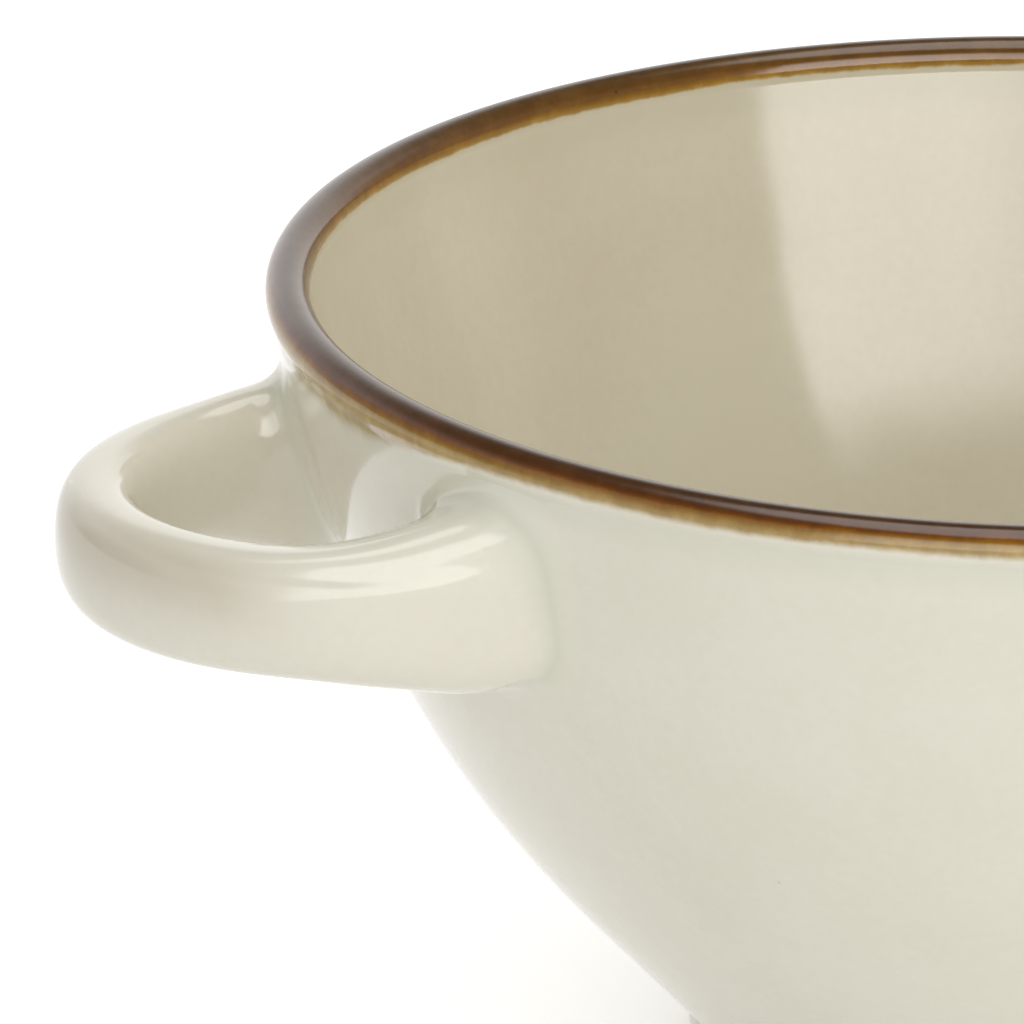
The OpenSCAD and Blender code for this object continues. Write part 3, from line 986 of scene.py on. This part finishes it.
sweep = spread(tree, up, 0.34, 0.72, 1.0, 0.05)
dark_cards = calc(tree, "MULTIPLY", spread(tree, toward(LEFT_CARD), 0.86, 0.97, 1.0, 0.45),
                  spread(tree, toward(RIGHT_CARD), 0.60, 0.80, 1.0, 0.40))
back_light = calc(tree, "MULTIPLY", spread(tree, toward(BEHIND), 0.70, 0.92), spread(tree, up, 0.45, 0.65, 1.0, 0.0))
gloss = calc(tree, "MULTIPLY_ADD", back_light, BACK_LIGHT, calc(tree, "MULTIPLY", sweep, dark_cards))
along = calc(tree, "DIVIDE", x, calc(tree, "MAXIMUM", calc(tree, "MULTIPLY", y, -1.0), 0.001))
window = calc(tree, "MULTIPLY", spread(tree, along, -1.7, -1.1), spread(tree, along, 0.40, 0.48, 1.0, 0.0))
window = calc(tree, "MULTIPLY", window, spread(tree, up, 0.46, 0.68, 1.0, 0.0))
gloss = calc(tree, "MULTIPLY_ADD", window, spread(tree, along, -0.6, -0.1, WINDOW_LEFT, WINDOW_RIGHT), gloss)
gloss = calc(tree, "MULTIPLY_ADD", spread(tree, up, 0.87, 0.93), CEILING_LIGHT, gloss)
plain = calc(tree, "MULTIPLY", calc(tree, "MULTIPLY_ADD", up, GLOW_RISE, GLOW_LEVEL),
             spread(tree, toward(DIM_CORNER), 0.3, 0.95, 1.0, 0.45))

light_path = add(tree, "ShaderNodeLightPath").outputs
seen = calc(tree, "MAXIMUM", light_path["Is Glossy Ray"], light_path["Is Transmission Ray"])
glow = calc(tree, "ADD", calc(tree, "MULTIPLY", seen, gloss),
            calc(tree, "MULTIPLY", calc(tree, "SUBTRACT", 1.0, seen), plain))
background.inputs["Color"].default_value = WHITE
tree.links.new(calc(tree, "MAXIMUM", glow, light_path["Is Camera Ray"]), background.inputs["Strength"])
print("world: a studio for the gloss, a plain glow for matt surfaces, white for the camera")

# %% [markdown]
# One soft box stands to the right of the camera and shapes the matt body of the glaze. Glossy rays don't see it,
# because the window in the world already gives the highlights on the handle and the broad patch in the far wall inside
# the bowl.

# %% Soft box
CAMERA_PLACE = Vector((-0.3181, -0.6822, 0.3203))
CAMERA_AIM = Vector((-0.0426, 0.0199, 0.0484))
BOX_CENTRE = Vector((0, 0, 0.05))
to_camera = math.atan2(CAMERA_PLACE.y - CAMERA_AIM.y, CAMERA_PLACE.x - CAMERA_AIM.x)


def soft_box(name, right_deg, up_deg, distance, width, tall, watts):
    light = bpy.data.lights.new(name, "AREA")
    light.shape, light.size, light.size_y, light.energy = "RECTANGLE", width, tall, watts
    lamp = bpy.data.objects.new(name, light)
    lamp.visible_glossy = False
    bpy.context.scene.collection.objects.link(lamp)
    turn_to, rise = to_camera + math.radians(right_deg), math.radians(up_deg)
    away = Vector((math.cos(turn_to) * math.cos(rise), math.sin(turn_to) * math.cos(rise), math.sin(rise)))
    lamp.location = BOX_CENTRE + away * distance
    lamp.rotation_euler = (-away).to_track_quat("-Z", "Y").to_euler()
    print(f"{name}: {width} by {tall} m at {distance} m, {watts} W")


soft_box("soft_box", 23, 17, 1.4, 1.10, 0.62, 3.6)

# %% [markdown]
# The camera looks down on the crock from a little left of the front, with the left handle in full view and the right
# side cut off, as the photo has it. Its long lens was fitted to the photo's outlines. Colours go to the picture as
# they are, with the Standard view.

# %% Camera
LENS_MM, SENSOR_MM = 327.2, 36

camera_data = bpy.data.cameras.new("camera")
camera = bpy.data.objects.new("camera", camera_data)
bpy.context.scene.collection.objects.link(camera)
camera.location = CAMERA_PLACE
camera.rotation_euler = (CAMERA_AIM - CAMERA_PLACE).to_track_quat("-Z", "Y").to_euler()
camera_data.lens, camera_data.sensor_width = LENS_MM, SENSOR_MM
bpy.context.scene.camera = camera
bpy.context.scene.view_settings.view_transform = "Standard"
print(f"camera: {LENS_MM:.0f} mm lens, {(CAMERA_AIM - CAMERA_PLACE).length:.1f} m away")
